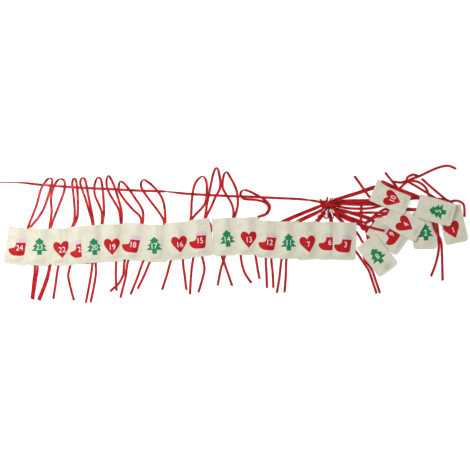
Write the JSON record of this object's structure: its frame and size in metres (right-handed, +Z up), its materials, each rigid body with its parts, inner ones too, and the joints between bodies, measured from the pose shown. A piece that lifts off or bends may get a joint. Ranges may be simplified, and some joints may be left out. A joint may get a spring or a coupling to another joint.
{
  "type": "felt advent calendar",
  "caption": "Felt advent calendar: flat numbered pouches, open at the top, each tied by a satin ribbon loop to one long hanging ribbon, laid out flat.",
  "frame": {"origin": "on the table, under the middle of the box around the pouches", "axes": "+X along the row of pouches to the heap, +Y from the pouches to the long ribbon, +Z up from the table"},
  "size_m": [1.8953, 0.5548, 0.0234],
  "materials": {
    "cream_felt": "matte wool felt",
    "red_satin": "satin ribbon"
  },
  "bodies": {
    "long_ribbon": {"main_ribbon": "red_satin", "bunch_knot": "red_satin"},
    "pouch_01_on_ribbon": {"pouch_01": "cream_felt", "ribbon_01": "red_satin"},
    "pouch_02_on_ribbon": {"pouch_02": "cream_felt", "ribbon_02": "red_satin"},
    "pouch_03_on_ribbon": {"pouch_03": "cream_felt", "ribbon_03": "red_satin"},
    "pouch_04_on_ribbon": {"pouch_04": "cream_felt", "ribbon_04": "red_satin"},
    "pouch_05_on_ribbon": {"pouch_05": "cream_felt", "ribbon_05": "red_satin"},
    "pouch_06_on_ribbon": {"pouch_06": "cream_felt", "ribbon_06": "red_satin"},
    "pouch_07_on_ribbon": {"pouch_07": "cream_felt", "ribbon_07": "red_satin"},
    "pouch_08_on_ribbon": {"pouch_08": "cream_felt", "ribbon_08": "red_satin"},
    "pouch_09_on_ribbon": {"pouch_09": "cream_felt", "ribbon_09": "red_satin"},
    "pouch_10_on_ribbon": {"pouch_10": "cream_felt", "ribbon_10": "red_satin"},
    "pouch_11_on_ribbon": {"pouch_11": "cream_felt", "ribbon_11": "red_satin"},
    "pouch_12_on_ribbon": {"pouch_12": "cream_felt", "ribbon_12": "red_satin"},
    "pouch_13_on_ribbon": {"pouch_13": "cream_felt", "ribbon_13": "red_satin"},
    "pouch_14_on_ribbon": {"pouch_14": "cream_felt", "ribbon_14": "red_satin"},
    "pouch_15_on_ribbon": {"pouch_15": "cream_felt", "ribbon_15": "red_satin"},
    "pouch_16_on_ribbon": {"pouch_16": "cream_felt", "ribbon_16": "red_satin"},
    "pouch_17_on_ribbon": {"pouch_17": "cream_felt", "ribbon_17": "red_satin"},
    "pouch_18_on_ribbon": {"pouch_18": "cream_felt", "ribbon_18": "red_satin"},
    "pouch_19_on_ribbon": {"pouch_19": "cream_felt", "ribbon_19": "red_satin"},
    "pouch_20_on_ribbon": {"pouch_20": "cream_felt", "ribbon_20": "red_satin"},
    "pouch_21_on_ribbon": {"pouch_21": "cream_felt", "ribbon_21": "red_satin"},
    "pouch_22_on_ribbon": {"pouch_22": "cream_felt", "ribbon_22": "red_satin"},
    "pouch_23_on_ribbon": {"pouch_23": "cream_felt", "ribbon_23": "red_satin"},
    "pouch_24_on_ribbon": {"pouch_24": "cream_felt", "ribbon_24": "red_satin"}
  },
  "joints": [
    {"name": "pouch_01_slide", "type": "slide", "parent": "long_ribbon", "child": "pouch_01_on_ribbon", "axis": [0.225, -0.9744, 0], "range_m": [0, 0.006]},
    {"name": "pouch_02_slide", "type": "slide", "parent": "long_ribbon", "child": "pouch_02_on_ribbon", "axis": [0.0175, -0.9998, 0], "range_m": [0, 0.006]},
    {"name": "pouch_03_slide", "type": "slide", "parent": "long_ribbon", "child": "pouch_03_on_ribbon", "axis": [-0.0349, -0.9994, 0], "range_m": [0, 0.006]},
    {"name": "pouch_04_slide", "type": "slide", "parent": "long_ribbon", "child": "pouch_04_on_ribbon", "axis": [0.866, -0.5, 0], "range_m": [0, 0.006]},
    {"name": "pouch_05_slide", "type": "slide", "parent": "long_ribbon", "child": "pouch_05_on_ribbon", "axis": [0.9613, -0.2756, 0], "range_m": [0, 0.006]},
    {"name": "pouch_06_slide", "type": "slide", "parent": "long_ribbon", "child": "pouch_06_on_ribbon", "axis": [0, -1, 0], "range_m": [0, 0.006]},
    {"name": "pouch_07_slide", "type": "slide", "parent": "long_ribbon", "child": "pouch_07_on_ribbon", "axis": [0.0872, -0.9962, 0], "range_m": [0, 0.006]},
    {"name": "pouch_08_slide", "type": "slide", "parent": "long_ribbon", "child": "pouch_08_on_ribbon", "axis": [0.6157, -0.788, 0], "range_m": [0, 0.006]},
    {"name": "pouch_09_slide", "type": "slide", "parent": "long_ribbon", "child": "pouch_09_on_ribbon", "axis": [0.809, -0.5878, 0], "range_m": [0, 0.006]},
    {"name": "pouch_10_slide", "type": "slide", "parent": "long_ribbon", "child": "pouch_10_on_ribbon", "axis": [0.9205, -0.3907, 0], "range_m": [0, 0.006]},
    {"name": "pouch_11_slide", "type": "slide", "parent": "long_ribbon", "child": "pouch_11_on_ribbon", "axis": [0.0349, -0.9994, 0], "range_m": [0, 0.006]},
    {"name": "pouch_12_slide", "type": "slide", "parent": "long_ribbon", "child": "pouch_12_on_ribbon", "axis": [-0.0698, -0.9976, 0], "range_m": [0, 0.006]},
    {"name": "pouch_13_slide", "type": "slide", "parent": "long_ribbon", "child": "pouch_13_on_ribbon", "axis": [0.0349, -0.9994, 0], "range_m": [0, 0.006]},
    {"name": "pouch_14_slide", "type": "slide", "parent": "long_ribbon", "child": "pouch_14_on_ribbon", "axis": [0.0349, -0.9994, 0], "range_m": [0, 0.04]},
    {"name": "pouch_15_slide", "type": "slide", "parent": "long_ribbon", "child": "pouch_15_on_ribbon", "axis": [0.1305, -0.9914, 0], "range_m": [0, 0.04]},
    {"name": "pouch_16_slide", "type": "slide", "parent": "long_ribbon", "child": "pouch_16_on_ribbon", "axis": [0.0785, -0.9969, 0], "range_m": [0, 0.04]},
    {"name": "pouch_17_slide", "type": "slide", "parent": "long_ribbon", "child": "pouch_17_on_ribbon", "axis": [-0.0175, -0.9998, 0], "range_m": [0, 0.012]},
    {"name": "pouch_18_slide", "type": "slide", "parent": "long_ribbon", "child": "pouch_18_on_ribbon", "axis": [-0.1045, -0.9945, 0], "range_m": [0, 0.006]},
    {"name": "pouch_19_slide", "type": "slide", "parent": "long_ribbon", "child": "pouch_19_on_ribbon", "axis": [0, -1, 0], "range_m": [0, 0.006]},
    {"name": "pouch_20_slide", "type": "slide", "parent": "long_ribbon", "child": "pouch_20_on_ribbon", "axis": [0.0698, -0.9976, 0], "range_m": [0, 0.012]},
    {"name": "pouch_21_slide", "type": "slide", "parent": "long_ribbon", "child": "pouch_21_on_ribbon", "axis": [0, -1, 0], "range_m": [0, 0.012]},
    {"name": "pouch_22_slide", "type": "slide", "parent": "long_ribbon", "child": "pouch_22_on_ribbon", "axis": [0, -1, 0], "range_m": [0, 0.006]},
    {"name": "pouch_23_slide", "type": "slide", "parent": "long_ribbon", "child": "pouch_23_on_ribbon", "axis": [-0.0872, -0.9962, 0], "range_m": [0, 0.006]},
    {"name": "pouch_24_slide", "type": "slide", "parent": "long_ribbon", "child": "pouch_24_on_ribbon", "axis": [-0.1564, -0.9877, 0], "range_m": [0, 0.006]}
  ]
}
